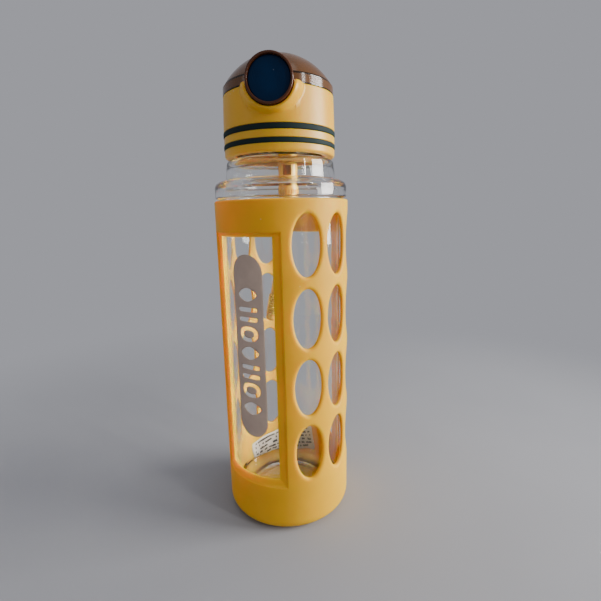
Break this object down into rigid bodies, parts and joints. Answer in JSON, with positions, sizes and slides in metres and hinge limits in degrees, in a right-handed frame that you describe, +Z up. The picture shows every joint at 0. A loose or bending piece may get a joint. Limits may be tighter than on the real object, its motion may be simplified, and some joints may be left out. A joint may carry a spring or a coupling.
{
  "type": "glass drinking bottle",
  "caption": "Glass drinking bottle in a perforated silicone sleeve, with a screw cap, a push-button flip dome and a straw.",
  "frame": {"origin": "centre of the base, on the surface it stands on", "axes": "+Z up along the bottle's axis; -Y toward the push button, so the cover's hinge is at +Y; +X to the right seen from the button side"},
  "size_m": [0.07, 0.07, 0.244],
  "materials": {
    "glass": "clear flint glass, fire-polished",
    "silicone": "satin moulded silicone",
    "print": "frosted ceramic print",
    "paper": "printed paper label",
    "cap_plastic": "satin moulded plastic",
    "thread_plastic": "natural moulded plastic",
    "band_rubber": "satin rubber",
    "smoke_plastic": "glossy translucent smoke brown",
    "button_plastic": "glossy moulded plastic",
    "dark_plastic": "moulded plastic",
    "steel": "drawn stainless wire",
    "soft_silicone": "soft translucent silicone",
    "straw_plastic": "translucent plastic"
  },
  "bodies": {
    "bottle": {"glass_bottle": "glass", "silicone_sleeve": "silicone", "print_panel": "print", "base_label": "paper"},
    "gasket": {"neck_gasket": "soft_silicone"},
    "cap": {"cap_body": "cap_plastic", "thread_insert": "thread_plastic", "upper_band": "band_rubber", "lower_band": "band_rubber", "latch_catch": "dark_plastic", "hinge_pin": "steel", "hinge_spring": "steel", "spout": "soft_silicone", "spout_collar": "cap_plastic", "vent_valve": "soft_silicone", "straw_stem": "straw_plastic", "straw": "straw_plastic", "straw_tip": "straw_plastic"},
    "cover": {"dome_cover": "smoke_plastic", "cover_seal": "soft_silicone", "button_housing": "smoke_plastic"},
    "push_button": {"button": "button_plastic", "button_spring": "steel", "latch_hook": "dark_plastic"}
  },
  "joints": [
    {"name": "cap_lift", "type": "slide", "parent": "bottle", "child": "gasket", "axis": [0, 0, 1], "range_m": [0, 0.005]},
    {"name": "cap_turn", "type": "hinge", "parent": "gasket", "child": "cap", "pos_m": [0, 0, 0.2], "axis": [0, 0, 1], "range_deg": [0, 450]},
    {"name": "cover_hinge", "type": "hinge", "parent": "cap", "child": "cover", "pos_m": [0, 0.0296, 0.2241], "axis": [-1, 0, 0], "range_deg": [0, 150]},
    {"name": "button_press", "type": "slide", "parent": "cover", "child": "push_button", "axis": [0, 1, 0], "range_m": [0, 0.002], "stiffness_N_per_m": 400, "springref_m": -0.002, "deforming": ["button_spring"]}
  ],
  "couplings": [
    {"joint": "cap_lift", "follows": "cap_turn", "m_per_rad": 0.00063662}
  ]
}
